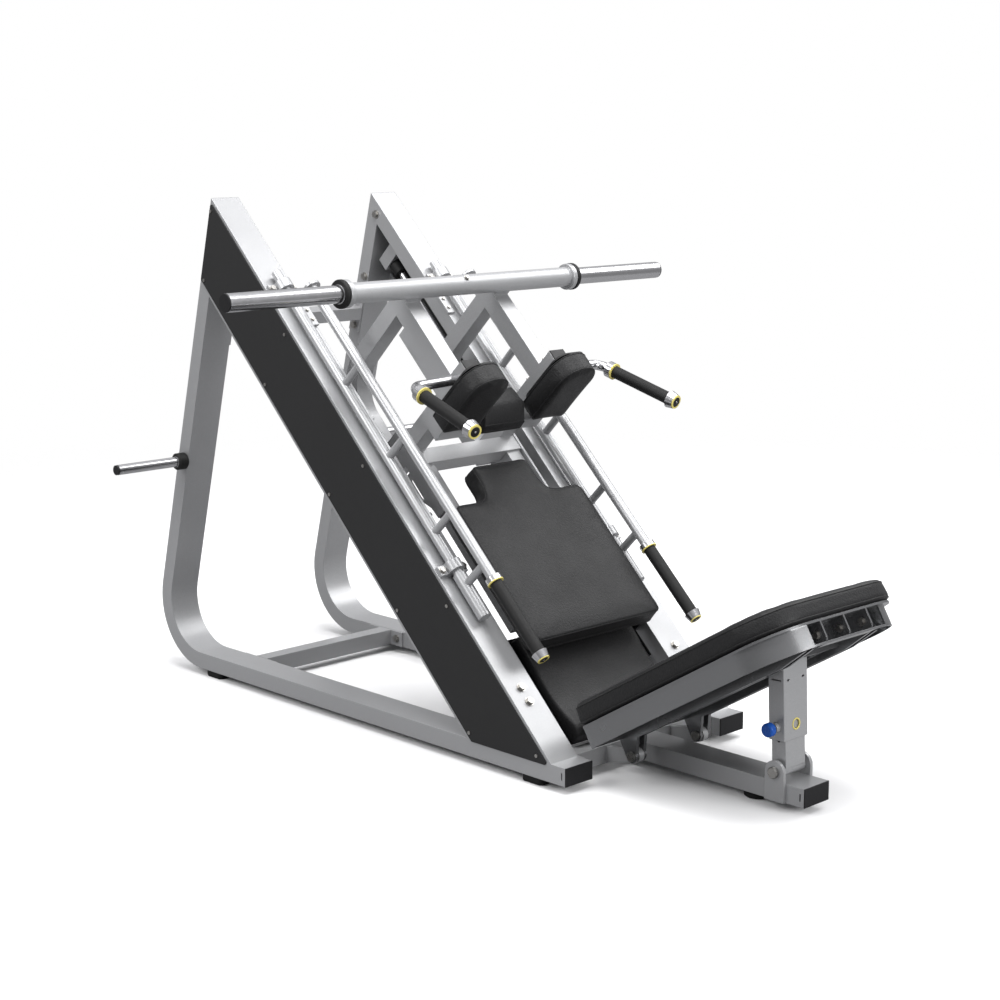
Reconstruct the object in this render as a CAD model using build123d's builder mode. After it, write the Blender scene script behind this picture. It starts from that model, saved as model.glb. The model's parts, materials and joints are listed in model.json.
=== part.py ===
from build123d import *

import os
from math import cos, hypot, radians, sin

# Plate-loaded hack squat machine, in millimetres. +X is the right-hand side seen from the
# front, +Y runs from the foot plate to the rear and +Z is up. The origin is on the floor, in
# the middle of the machine's length and width.

os.makedirs("parts", exist_ok=True)

# ---- Side frames: bent rectangular tube, one each side ----
FOOT_HEIGHT = 22.0
RUNNER_FRONT_Y = -582.484
TUBE_WIDTH = 100.0
TUBE_DEPTH = 50.0
TUBE_WALL = 4.0
FRAME_X = 310.0
FRAME_IN = FRAME_X - TUBE_WIDTH / 2
FRAME_OUT = FRAME_X + TUBE_WIDTH / 2
FRAME_TOP = 1464.0
UPRIGHT_LEAN = 14.6
BEND_RADIUS = 200.0
REAR_LENGTH = 1848.0
PANEL_SHEET = 3.0
PANEL_TOP_N = -9.0
PANEL_LOW_N = -215.0
PANEL_FOOT_Z = 44.0
FLAT_BAR = 30.0
FLAT_BAR_N = -210.0
FLAT_BAR_THICK = 8.0
SLOPE_REACH = 2200.0
CAP_SHEET = 3.0

# ---- Guide rods, and the clearances used for every running fit ----
ROD_RADIUS = 13.0
ROD_N = -115.0
ROD_LOW_S = 245.0
ROD_HIGH_S = 1915.0
RUNNING_GAP = 0.05
HOLE_GAP = 0.3

# ---- Carriage ----
BAR_S = 1408.0
BAR_N = 327.0
BAR_RADIUS = 29.0
BAR_HALF = 430.0
SLEEVE_RADIUS = 25.0
SLEEVE_END_X = 833.8
COLLAR_LENGTH = 15.0
COLLAR_RADIUS = 40.0
RAIL_IN = 145.0
RAIL_OUT = 200.0
LEG_DEPTH = 50.0
LEG_BEND_S = 1283.0
LEG_BEND_N = 27.0
LEG_BEND_IN = 110.0
BRACKET_LOW_S = 1083.0
BRACKET_HIGH_S = 1131.0
BRACKET_TOP_N = 342.0
HOUSING_RADIUS = 30.0
HOUSING_LENGTH = 100.0
HOUSING_LOW_S = (880.0, 1180.0)
BEARING_RADIUS = 21.0

# ---- Safety levers ----
LEVER_X = 309.0
LEVER_N = 20.0
SHAFT_RADIUS = 14.5
HANDLE_RADIUS = 15.0
GRIP_RADIUS = 18.0
CORE_RADIUS = 11.0
LEVER_BLOCKS_S = (685.0, 1700.0)

# ---- Foot plate ----
PLATE_TILT = 31.0
PLATE_Y = 33.0
PLATE_Z = 132.5
PLATE_HALF = 280.0
PLATE_LENGTH = 738.0
PLATE_CORNER = 136.0
PLATE_PAD = 63.0
RIM_LOW = -62.0
HINGE_Y = -40.0
HINGE_Z = 44.0
HINGE_PIN_RADIUS = 8.0

# ---- Adjusting post ----
POST_FOOT_Y = -440.0
POST_FOOT_Z = 76.0
POST_TOP_U = 510.0
POST_TOP_V = -45.0
INDEX_PITCH = 17.45

ROOT = 0.5 ** 0.5


# ---- Placement: level, up-slope and foot-plate axes ----
def level_point(x, y, z):
    """A point given back from the runners' front ends and up from their undersides."""
    return (x, RUNNER_FRONT_Y + y, FOOT_HEIGHT + z)


def slope_point(x, s, n):
    """A point given by its distance s up the 45 degree slope and n out from the beams' tops."""
    return level_point(x, (s - n) * ROOT, (s + n) * ROOT)


def side_plane(x):
    """Plane for a (y, z) profile that is extruded along +X."""
    return Plane(origin=level_point(x, 0, 0), x_dir=(0, 1, 0), z_dir=(1, 0, 0))


def slope_side(x):
    """Plane for an (s, n) profile that is extruded along +X."""
    return Plane(origin=slope_point(x, 0, 0), x_dir=(0, ROOT, ROOT), z_dir=(1, 0, 0))


def slope_face(n, x=0, s=0):
    """Plane for an (x, s) outline that is extruded outward from the slope."""
    return Plane(origin=slope_point(x, s, n), x_dir=(1, 0, 0), z_dir=(0, -ROOT, ROOT))


def slope_section(s):
    """Plane for an (x, n) outline that is extruded down the slope."""
    return Plane(origin=slope_point(0, s, 0), x_dir=(1, 0, 0), z_dir=(0, -ROOT, -ROOT))


TILT_COS = cos(radians(PLATE_TILT))
TILT_SIN = sin(radians(PLATE_TILT))


def plate_point(x, u, v):
    """A point given by u up the foot plate and v out from the underside of its pad."""
    y = PLATE_Y - u * TILT_COS + v * TILT_SIN
    return level_point(x, y, PLATE_Z + u * TILT_SIN + v * TILT_COS)


def plate_face(v):
    """Plane for a (-x, u) outline that is extruded outward from the foot plate."""
    return Plane(origin=plate_point(0, 0, v), x_dir=(-1, 0, 0), z_dir=(0, TILT_SIN, TILT_COS))


def plate_side(x):
    """Plane for a (u, v) profile that is extruded along -X."""
    return Plane(origin=plate_point(x, 0, 0), x_dir=(0, -TILT_COS, TILT_SIN), z_dir=(-1, 0, 0))


POST_TOP = plate_point(0, POST_TOP_U, POST_TOP_V)
POST_FOOT = level_point(0, POST_FOOT_Y, POST_FOOT_Z)
POST_DY = POST_TOP[1] - POST_FOOT[1]
POST_DZ = POST_TOP[2] - POST_FOOT[2]
POST_LENGTH = hypot(POST_DY, POST_DZ)
POST_COS = POST_DZ / POST_LENGTH
POST_SIN = POST_DY / POST_LENGTH


def post_point(x, depth, rise):
    """A point on the post: depth to its rear, rise up it from the pivot at its foot."""
    y = POST_FOOT[1] + depth * POST_COS + rise * POST_SIN
    return (x, y, POST_FOOT[2] + rise * POST_COS - depth * POST_SIN)


def post_section(rise):
    """Plane for an (x, depth) outline that is extruded up the post."""
    return Plane(origin=post_point(0, 0, rise), x_dir=(1, 0, 0), z_dir=(0, POST_SIN, POST_COS))


# ---- Building helpers, used inside a BuildPart block ----
def slope_box(x_range, s_range, n_range, mode=Mode.ADD):
    """A block aligned with the slope."""
    with BuildSketch(slope_section(s_range[1])) as profile:
        with Locations((sum(x_range) / 2, sum(n_range) / 2)):
            Rectangle(x_range[1] - x_range[0], n_range[1] - n_range[0])
    extrude(profile.sketch, amount=s_range[1] - s_range[0], mode=mode)


def level_box(x_range, y_range, z_range, mode=Mode.ADD):
    """A block aligned with the floor."""
    with BuildSketch(Plane(origin=level_point(0, 0, z_range[0]))) as profile:
        with Locations((sum(x_range) / 2, sum(y_range) / 2)):
            Rectangle(x_range[1] - x_range[0], y_range[1] - y_range[0])
    extrude(profile.sketch, amount=z_range[1] - z_range[0], mode=mode)


def slope_rod(x, n, s_range, radius, mode=Mode.ADD):
    """A round bar that runs up the slope."""
    with BuildSketch(slope_section(s_range[1])) as profile:
        with Locations((x, n)):
            Circle(radius)
    extrude(profile.sketch, amount=s_range[1] - s_range[0], mode=mode)


def cross_rod(centre, x_range, radius, mode=Mode.ADD):
    """A round bar along X through a point."""
    plane = Plane(origin=(x_range[0], centre[1], centre[2]), x_dir=(0, 1, 0), z_dir=(1, 0, 0))
    with BuildSketch(plane) as profile:
        Circle(radius)
    extrude(profile.sketch, amount=x_range[1] - x_range[0], mode=mode)


def straight_rod(start, end, radius, mode=Mode.ADD):
    """A round bar from one point to another."""
    start = Vector(*start)
    end = Vector(*end)
    with BuildSketch(Plane(origin=start, z_dir=end - start)) as profile:
        Circle(radius)
    extrude(profile.sketch, amount=(end - start).length, mode=mode)


def round_hole(plane, radius, depth):
    """A hole sunk from a plane's origin against its normal."""
    with BuildSketch(plane) as profile:
        Circle(radius)
    extrude(profile.sketch, amount=-depth, mode=Mode.SUBTRACT)


def hex_bolt(plane, shank_radius, shank_length):
    """A hexagon bolt with a washer: it sits on the plane, its shank goes in against the normal."""
    with BuildSketch(plane) as profile:
        Circle(shank_radius * 2.2)
    extrude(profile.sketch, amount=shank_radius * 0.35)
    with BuildSketch(plane.offset(shank_radius * 0.35)) as profile:
        RegularPolygon(shank_radius * 1.75, 6)
    extrude(profile.sketch, amount=shank_radius * 1.2)
    with BuildSketch(plane) as profile:
        Circle(shank_radius)
    extrude(profile.sketch, amount=-shank_length)


def write(piece, name):
    """Label a finished part and write its STEP file."""
    piece.label = name
    export_step(piece, f"parts/{name}.step")


def write_pair(piece, name):
    """Write a right-hand part and its mirror image on the left."""
    write(piece, f"right_{name}")
    write(mirror(piece, about=Plane.YZ), f"left_{name}")


# ---- Where the bolts go ----
FLANGE_SHEET = 6.0
FLANGE_X = FRAME_IN - FLANGE_SHEET
FRONT_BOLTS_Y = (46.0, 124.0)
REAR_BOLTS_Y = (1359.0, 1467.0)
FLANGE_BOLT_Z = 25.0
UPPER_TUBE_Y = 1538.0
UPPER_TUBE_Z = 1083.0
UPPER_BOLT_REACH = 45.0
ROD_BOLTS_S = (255.0, 300.0)
STOP_PLATE = 8.0
STOP_PLATE_S = (1560.0, 1632.0)
STOP_BOLTS_S = (1580.0, 1615.0)
STOP_BOLT_X = 268.0
BLOCK_BOLTS_X = (271.0, 347.0)
BLOCK_BASE = 12.0
UPRIGHT_BOLTS = ((1441.0, 1397.0), (1500.0, 1198.0))
PAD_BOLTS_N = (215.0, 305.0)
FLANGE_BOLT = 6.0
BLOCK_BOLT = 5.0
STOP_BOLT = 3.0
SCREW_RADIUS = 2.0
SCREW_HEAD_RADIUS = 5.0

LEAN_COS = cos(radians(UPRIGHT_LEAN))
LEAN_SIN = sin(radians(UPRIGHT_LEAN))


def inward_plane(side, x, y, z):
    """Plane on a face at x, facing the machine's middle."""
    return Plane(origin=level_point(side * x, y, z), x_dir=(0, 1, 0), z_dir=(-side, 0, 0))


def upper_bolt_planes(side, x):
    """The two bolts through each end flange of the upper cross tube."""
    return [
        inward_plane(side, x, UPPER_TUBE_Y - reach * LEAN_SIN, UPPER_TUBE_Z + reach * LEAN_COS)
        for reach in (-UPPER_BOLT_REACH, UPPER_BOLT_REACH)
    ]


def flange_bolt_planes(side, x):
    """The bolts that hold the two level cross tubes to the runners."""
    return [inward_plane(side, x, y, FLANGE_BOLT_Z) for y in FRONT_BOLTS_Y + REAR_BOLTS_Y]


# ---- Side frames ----
def frame_outline(inset):
    """Closed side view of the bent tube, moved in by an inset."""
    Polygon(
        (0, 0), (REAR_LENGTH, 0), (FRAME_TOP, FRAME_TOP), (TUBE_DEPTH, TUBE_DEPTH), (0, TUBE_DEPTH),
        align=None,
    )
    fillet(vertices().sort_by_distance((REAR_LENGTH, 0, 0))[0], BEND_RADIUS)
    if inset:
        offset(amount=-inset, kind=Kind.INTERSECTION, mode=Mode.REPLACE)


def panel_screw_spots():
    """The (s, n) places of the screws along a panel's two long edges."""
    front = [(115.0 + 482.0 * i, -27.0) for i in range(5)]
    rear = [(299.0 + 407.3 * i, -204.0) for i in range(5)]
    return front + rear


with BuildSketch() as loop_outer:
    frame_outline(0)
with BuildSketch() as loop_inner:
    frame_outline(TUBE_DEPTH)
with BuildSketch() as void_outer:
    frame_outline(TUBE_WALL)
with BuildSketch() as void_inner:
    frame_outline(TUBE_DEPTH - TUBE_WALL)
with BuildSketch() as panel_clip:
    frame_outline(3.0)

with BuildPart() as side_frame:
    with BuildSketch(side_plane(FRAME_IN)):
        add(loop_outer.sketch)
        add(loop_inner.sketch, mode=Mode.SUBTRACT)
    extrude(amount=TUBE_WIDTH)
    with BuildSketch(side_plane(FRAME_IN + TUBE_WALL)):
        add(void_outer.sketch)
        add(void_inner.sketch, mode=Mode.SUBTRACT)
        with Locations((TUBE_WALL / 2, TUBE_DEPTH / 2)):
            Rectangle(TUBE_WALL, TUBE_DEPTH - 2 * TUBE_WALL)
    extrude(amount=TUBE_WIDTH - 2 * TUBE_WALL, mode=Mode.SUBTRACT)
    # Flat bar along the panel's rear edge, welded to the runner and the upright
    with BuildSketch(side_plane(FRAME_OUT - FLAT_BAR_THICK)):
        with Locations(Rotation(0, 0, 45)):
            with Locations((SLOPE_REACH / 2, FLAT_BAR_N)):
                Rectangle(SLOPE_REACH, FLAT_BAR)
        add(loop_inner.sketch, mode=Mode.INTERSECT)
    extrude(amount=FLAT_BAR_THICK)
    for s, n in panel_screw_spots():
        spot = Plane(origin=slope_point(FRAME_OUT, s, n), x_dir=(0, 1, 0), z_dir=(1, 0, 0))
        round_hole(spot, SCREW_RADIUS + 0.2, 9)
    for spot in flange_bolt_planes(1, FRAME_IN) + upper_bolt_planes(1, FRAME_IN):
        round_hole(spot, FLANGE_BOLT + HOLE_GAP, TUBE_WALL)
    for y, z in UPRIGHT_BOLTS:
        round_hole(inward_plane(1, FRAME_IN, y, z), FLANGE_BOLT + HOLE_GAP, TUBE_WALL)
    for s in ROD_BOLTS_S:
        round_hole(slope_face(0, FRAME_X, s), FLANGE_BOLT + HOLE_GAP, TUBE_DEPTH)
    for s in STOP_BOLTS_S:
        round_hole(slope_face(0, STOP_BOLT_X, s), STOP_BOLT + HOLE_GAP, TUBE_WALL)
    for s in LEVER_BLOCKS_S:
        for x in BLOCK_BOLTS_X:
            round_hole(slope_face(0, x, s), BLOCK_BOLT + HOLE_GAP, TUBE_WALL)
    # Clip window for the end cap
    with BuildSketch(side_plane(FRAME_OUT)):
        with Locations((12, TUBE_DEPTH / 2)):
            Rectangle(4, 20)
    extrude(amount=-TUBE_WALL, mode=Mode.SUBTRACT)
write_pair(side_frame.part, "side_frame")

with BuildPart() as side_panel:
    with BuildSketch(side_plane(FRAME_OUT)):
        with Locations(Rotation(0, 0, 45)):
            with Locations((SLOPE_REACH / 2, (PANEL_TOP_N + PANEL_LOW_N) / 2)):
                Rectangle(SLOPE_REACH, PANEL_TOP_N - PANEL_LOW_N)
        add(panel_clip.sketch, mode=Mode.INTERSECT)
        with Locations((REAR_LENGTH / 2, PANEL_FOOT_Z / 2)):
            Rectangle(REAR_LENGTH, PANEL_FOOT_Z, mode=Mode.SUBTRACT)
    extrude(amount=PANEL_SHEET)
    fillet(side_panel.edges().filter_by(Axis.X), 7)
    for s, n in panel_screw_spots():
        spot = Plane(origin=slope_point(FRAME_OUT + PANEL_SHEET, s, n), x_dir=(0, 1, 0), z_dir=(1, 0, 0))
        round_hole(spot, SCREW_RADIUS + 0.2, PANEL_SHEET)
write_pair(side_panel.part, "side_panel")

with BuildPart() as panel_screws:
    for side in (1, -1):
        face_x = side * (FRAME_OUT + PANEL_SHEET)
        for s, n in panel_screw_spots():
            spot = Plane(origin=slope_point(face_x, s, n), x_dir=(0, 1, 0), z_dir=(side, 0, 0))
            with BuildSketch(spot):
                Circle(SCREW_HEAD_RADIUS)
            extrude(amount=2.4)
            with BuildSketch(spot):
                Circle(SCREW_RADIUS)
            extrude(amount=-10)
write(panel_screws.part, "panel_screws")

# ---- Floor-level cross tubes and the centre beam ----
POST_EAR_Y = POST_FOOT_Y
FLOOR_BEAM_FRONT = -527.0
CROSS_FRONT_Y = 60.0
REAR_TUBE_Y = 1413.0
LUG_X = 130.0
LUG_HALF = 9.0
POST_EAR_IN = 50.0
POST_EAR = 10.0


def floor_cross_tube(y_centre, flange_y):
    """Square tube between the runners with a bolted flange at each end."""
    half = TUBE_DEPTH / 2
    level_box((-FLANGE_X, FLANGE_X), (y_centre - half, y_centre + half), (0, TUBE_DEPTH))
    inner = half - TUBE_WALL
    level_box((-FLANGE_X, FLANGE_X), (y_centre - inner, y_centre + inner),
              (TUBE_WALL, TUBE_DEPTH - TUBE_WALL), Mode.SUBTRACT)
    for side in (1, -1):
        ends = sorted((side * FLANGE_X, side * FRAME_IN))
        level_box(ends, flange_y, (1, TUBE_DEPTH - 1))


with BuildPart() as front_cross_beam:
    floor_cross_tube(CROSS_FRONT_Y + TUBE_DEPTH / 2, (30, 140))
    for side in (1, -1):
        for spot in flange_bolt_planes(side, FLANGE_X)[:2]:
            round_hole(spot, FLANGE_BOLT + HOLE_GAP, FLANGE_SHEET)
    # Lugs for the foot plate's hinge
    for x in (-LUG_X, LUG_X):
        with BuildSketch(side_plane(x - LUG_HALF)):
            with BuildLine():
                Polyline((HINGE_Y, HINGE_Z - 20), (CROSS_FRONT_Y, 4), (CROSS_FRONT_Y, 46),
                         (HINGE_Y, HINGE_Z + 20))
                ThreePointArc((HINGE_Y, HINGE_Z + 20), (HINGE_Y - 20, HINGE_Z), (HINGE_Y, HINGE_Z - 20))
            make_face()
            with Locations((HINGE_Y, HINGE_Z)):
                Circle(HINGE_PIN_RADIUS + RUNNING_GAP, mode=Mode.SUBTRACT)
        extrude(amount=2 * LUG_HALF)
write(front_cross_beam.part, "front_cross_beam")

with BuildPart() as centre_base_beam:
    level_box((-50, 50), (FLOOR_BEAM_FRONT, CROSS_FRONT_Y), (0, TUBE_DEPTH))
    level_box((-46, 46), (FLOOR_BEAM_FRONT, CROSS_FRONT_Y), (4, TUBE_DEPTH - 4), Mode.SUBTRACT)
    level_box((-50, 50), (FLOOR_BEAM_FRONT + 10, FLOOR_BEAM_FRONT + 14), (15, 35), Mode.SUBTRACT)
    # Ears that carry the post's pivot, welded to the beam's sides
    for x in (-POST_EAR_IN - POST_EAR, POST_EAR_IN):
        with BuildSketch(side_plane(x)):
            with Locations((POST_EAR_Y, POST_FOOT_Z)):
                Circle(30)
            with Locations((POST_EAR_Y, POST_FOOT_Z / 2)):
                Rectangle(60, POST_FOOT_Z)
            with Locations((POST_EAR_Y, POST_FOOT_Z)):
                Circle(8 + HOLE_GAP, mode=Mode.SUBTRACT)
        extrude(amount=POST_EAR)
write(centre_base_beam.part, "centre_base_beam")

with BuildPart() as rear_lower_cross_tube:
    floor_cross_tube(REAR_TUBE_Y, (REAR_TUBE_Y - 80, REAR_TUBE_Y + 80))
    for side in (1, -1):
        for spot in flange_bolt_planes(side, FLANGE_X)[2:]:
            round_hole(spot, FLANGE_BOLT + HOLE_GAP, FLANGE_SHEET)
write(rear_lower_cross_tube.part, "rear_lower_cross_tube")

with BuildPart() as rear_upper_cross_tube:
    lean = (0, LEAN_COS, LEAN_SIN)
    with BuildSketch(Plane(origin=level_point(-FLANGE_X, UPPER_TUBE_Y, UPPER_TUBE_Z), x_dir=lean,
                           z_dir=(1, 0, 0))):
        Rectangle(TUBE_DEPTH, 40)
        Rectangle(TUBE_DEPTH - 2 * TUBE_WALL, 40 - 2 * TUBE_WALL, mode=Mode.SUBTRACT)
    extrude(amount=2 * FLANGE_X)
    for x in (-FRAME_IN, FLANGE_X):
        with BuildSketch(Plane(origin=level_point(x, UPPER_TUBE_Y, UPPER_TUBE_Z), x_dir=lean,
                               z_dir=(1, 0, 0))):
            Rectangle(46, 130)
        extrude(amount=6)
    for side in (1, -1):
        for spot in upper_bolt_planes(side, FLANGE_X):
            round_hole(spot, FLANGE_BOLT + HOLE_GAP, FLANGE_SHEET)
write(rear_upper_cross_tube.part, "rear_upper_cross_tube")

with BuildPart() as base_end_caps:
    plug_gap = TUBE_WALL + 0.2
    for x, y in ((-FRAME_X, 0), (FRAME_X, 0), (0, FLOOR_BEAM_FRONT)):
        level_box((x - 50, x + 50), (y - CAP_SHEET, y), (0, TUBE_DEPTH))
        level_box((x - 50 + plug_gap, x + 50 - plug_gap), (y, y + 25), (plug_gap, TUBE_DEPTH - plug_gap))
    front_faces = base_end_caps.faces().filter_by(Axis.Y).group_by(Axis.Y)
    fillet(front_faces[0].edges(), 1.2)
write(base_end_caps.part, "base_end_caps")

with BuildPart() as rubber_feet:
    for x in (-FRAME_X, FRAME_X):
        for y in (130, 1535):
            with BuildSketch(Plane(origin=level_point(x, y, -FOOT_HEIGHT))):
                RectangleRounded(88, 76, 14)
            extrude(amount=FOOT_HEIGHT)
    with BuildSketch(Plane(origin=level_point(0, -345, -FOOT_HEIGHT))):
        Circle(37.5)
    extrude(amount=FOOT_HEIGHT)
    chamfer(rubber_feet.faces().filter_by(Axis.Z).group_by(Axis.Z)[0].edges(), 3)
write(rubber_feet.part, "rubber_feet")

with BuildPart() as frame_bolts:
    for side in (1, -1):
        for spot in flange_bolt_planes(side, FLANGE_X) + upper_bolt_planes(side, FLANGE_X):
            hex_bolt(spot, FLANGE_BOLT, 16)
        for y, z in UPRIGHT_BOLTS:
            hex_bolt(inward_plane(side, FRAME_IN, y, z), FLANGE_BOLT, 10)
        for s in ROD_BOLTS_S:
            hex_bolt(slope_face(0, side * FRAME_X, s), FLANGE_BOLT, 80)
        for s in STOP_BOLTS_S:
            hex_bolt(slope_face(STOP_PLATE, side * STOP_BOLT_X, s), STOP_BOLT, 16)
        for s in LEVER_BLOCKS_S:
            for x in BLOCK_BOLTS_X:
                hex_bolt(slope_face(BLOCK_BASE, side * x, s), BLOCK_BOLT, 22)
write(frame_bolts.part, "frame_bolts")

with BuildPart() as stop_plates:
    for side in (1, -1):
        slope_box(sorted((side * 255, side * 281)), STOP_PLATE_S, (0, STOP_PLATE))
        for s in STOP_BOLTS_S:
            round_hole(slope_face(STOP_PLATE, side * STOP_BOLT_X, s), STOP_BOLT + HOLE_GAP, STOP_PLATE)
write(stop_plates.part, "stop_plates")

# ---- Guide rods inside the side frames ----
STOP_COLLAR_S = (815.0, 838.0)
LOW_BUMPER_S = (838.0, 877.0)
HIGH_BUMPER_S = (1828.0, 1868.0)
LOW_MOUNT_S = (240.0, 320.0)
HIGH_MOUNT_S = (1868.0, 1912.0)

with BuildPart() as guide_rod:
    slope_rod(FRAME_X, ROD_N, (ROD_LOW_S, ROD_HIGH_S), ROD_RADIUS)
    chamfer(guide_rod.edges(), 2)
write_pair(guide_rod.part, "guide_rod")

with BuildPart() as guide_rod_mounts:
    for x in (-FRAME_X, FRAME_X):
        for s_range in (LOW_MOUNT_S, HIGH_MOUNT_S):
            slope_box((x - 30, x + 30), s_range, (ROD_N - 26, -TUBE_DEPTH))
        slope_rod(x, ROD_N, STOP_COLLAR_S, 26)
        slope_rod(x, ROD_N, (ROD_LOW_S - 20, ROD_HIGH_S + 20), ROD_RADIUS + RUNNING_GAP, Mode.SUBTRACT)
        for s in ROD_BOLTS_S:
            round_hole(slope_face(-TUBE_DEPTH, x, s), FLANGE_BOLT + HOLE_GAP, 34)
write(guide_rod_mounts.part, "guide_rod_mounts")

with BuildPart() as rod_bumpers:
    for x in (-FRAME_X, FRAME_X):
        for s_range in (LOW_BUMPER_S, HIGH_BUMPER_S):
            slope_rod(x, ROD_N, s_range, 25)
            slope_rod(x, ROD_N, s_range, ROD_RADIUS + RUNNING_GAP, Mode.SUBTRACT)
write(rod_bumpers.part, "rod_bumpers")

# ---- Storage horns on the uprights ----
HORN_Y = 1640.0
HORN_Z = 655.0
HORN_RADIUS = 15.5
HORN_SEAT_RADIUS = 17.0
HORN_CAP_RADIUS = 15.0
HORN_SEAT_END = FRAME_OUT + 35.0
HORN_END = 606.0
HORN_CAP_END = HORN_END + 6.0
HORN = level_point(0, HORN_Y, HORN_Z)

with BuildPart() as storage_horn:
    cross_rod(HORN, (FRAME_OUT, HORN_SEAT_END), HORN_SEAT_RADIUS)
    cross_rod(HORN, (HORN_SEAT_END, HORN_END), HORN_RADIUS)
write_pair(storage_horn.part, "storage_horn")

with BuildPart() as horn_collars:
    for side in (1, -1):
        span = sorted((side * FRAME_OUT, side * HORN_SEAT_END))
        cross_rod(HORN, span, 26)
        cross_rod(HORN, span, HORN_SEAT_RADIUS + RUNNING_GAP, Mode.SUBTRACT)
    chamfer(horn_collars.edges().filter_by(GeomType.CIRCLE).filter_by(lambda e: e.radius > 20), 4)
write(horn_collars.part, "horn_collars")

with BuildPart() as horn_end_caps:
    for side in (1, -1):
        cross_rod(HORN, sorted((side * HORN_END, side * HORN_CAP_END)), HORN_CAP_RADIUS)
write(horn_end_caps.part, "horn_end_caps")

# ---- Lower pad, fixed between the side frames ----
with BuildPart() as lower_pad:
    with BuildSketch(slope_side(-217)):
        with BuildLine():
            Polyline((455, -6), (455, -48), (116, -48), (116, -4))
            Spline((116, -4), (146, 9), (190, -1), (258, -12), (367, -7), (455, -6))
        make_face()
    extrude(amount=434)
    fillet(lower_pad.edges().filter_by(Axis.X).group_by(Axis.Z)[0], 5)
write(lower_pad.part, "lower_pad")

with BuildPart() as lower_pad_plate:
    slope_box((-225, 225), (125, 465), (-54, -48))
    for s in (150, 400):
        slope_box((-FRAME_IN, FRAME_IN), (s, s + 40), (-54, -48))
        for x_range in ((-FRAME_IN, -FRAME_IN + 6), (FRAME_IN - 6, FRAME_IN)):
            slope_box(x_range, (s, s + 40), (-54, -12))
write(lower_pad_plate.part, "lower_pad_plate")

# ---- Safety levers: a shaft along each beam with a handle rod above it ----
SHAFT_LOW_S = 520.0
SHAFT_HIGH_S = 1753.0
HANDLE_X = 306.0
HANDLE_HIGH = (1620.0, 111.0)
HANDLE_LOW = (330.0, 122.0)
GRIP_TOP_S = 560.0
STANDOFFS_S = (621.0, 798.0, 1062.0, 1325.0)
STANDOFF_RADIUS = 11.5
SHAFT_SLEEVE_S = (514.0, 657.0)
SHAFT_SLEEVE_RADIUS = 18.5
STOP_DISC_RADIUS = 25.0
STOP_DISC = 8.0
GRIP_SPAN_S = (332.0, 558.0)
FERRULE_SPAN_S = (561.0, 575.0)
FERRULE_RADIUS = 23.0
RING_SPAN_S = (558.2, 561.0)
BLOCK_RADIUS = 25.0
BLOCK_HALF = 15.0


def handle_n(s):
    """Height of the handle rod's axis at a place up the slope."""
    share = (s - HANDLE_LOW[0]) / (HANDLE_HIGH[0] - HANDLE_LOW[0])
    return HANDLE_LOW[1] + share * (HANDLE_HIGH[1] - HANDLE_LOW[1])


def handle_rod(s_low, s_high, radius, mode=Mode.ADD):
    """A stretch of round bar on the handle rod's axis."""
    start = slope_point(HANDLE_X, s_low, handle_n(s_low))
    end = slope_point(HANDLE_X, s_high, handle_n(s_high))
    straight_rod(start, end, radius, mode)


def handle_cone(s_high, length, radius_high, radius_low):
    """A tapered cap that ends a handle, wide end first going down the slope."""
    top = Vector(*slope_point(HANDLE_X, s_high, handle_n(s_high)))
    end = Vector(*slope_point(HANDLE_X, s_high - length, handle_n(s_high - length)))
    start_plane = Plane(origin=top, z_dir=end - top)
    with BuildSketch(start_plane) as wide_end:
        Circle(radius_high)
    with BuildSketch(start_plane.offset(length)) as narrow_end:
        Circle(radius_low)
    loft([wide_end.sketch, narrow_end.sketch])


with BuildPart() as safety_lever:
    slope_rod(LEVER_X, LEVER_N, (SHAFT_LOW_S, SHAFT_HIGH_S), SHAFT_RADIUS)
    slope_rod(LEVER_X, LEVER_N, SHAFT_SLEEVE_S, SHAFT_SLEEVE_RADIUS)
    handle_rod(GRIP_TOP_S, HANDLE_HIGH[0] - STOP_DISC, HANDLE_RADIUS)
    handle_rod(HANDLE_HIGH[0] - STOP_DISC, HANDLE_HIGH[0], STOP_DISC_RADIUS)
    handle_rod(HANDLE_LOW[0], GRIP_TOP_S, CORE_RADIUS)
    for s in STANDOFFS_S:
        start = slope_point(LEVER_X, s, LEVER_N)
        end = slope_point(HANDLE_X, s, handle_n(s))
        straight_rod(start, end, STANDOFF_RADIUS)
write_pair(safety_lever.part, "safety_lever")

with BuildPart() as lever_grip:
    handle_rod(*GRIP_SPAN_S, GRIP_RADIUS)
    handle_rod(320, 570, CORE_RADIUS + RUNNING_GAP, Mode.SUBTRACT)
write_pair(lever_grip.part, "lever_grip")

with BuildPart() as lever_ferrules:
    handle_rod(*FERRULE_SPAN_S, FERRULE_RADIUS)
    handle_rod(*FERRULE_SPAN_S, HANDLE_RADIUS + RUNNING_GAP, Mode.SUBTRACT)
    handle_cone(HANDLE_LOW[0] - 0.5, 20, FERRULE_RADIUS, 18)
write_pair(lever_ferrules.part, "lever_ferrules")

with BuildPart() as lever_rings:
    handle_rod(*RING_SPAN_S, FERRULE_RADIUS + 0.5)
    handle_rod(*RING_SPAN_S, HANDLE_RADIUS + RUNNING_GAP, Mode.SUBTRACT)
    handle_rod(307, 309.3, 17.5)
write_pair(lever_rings.part, "lever_rings")

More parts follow.
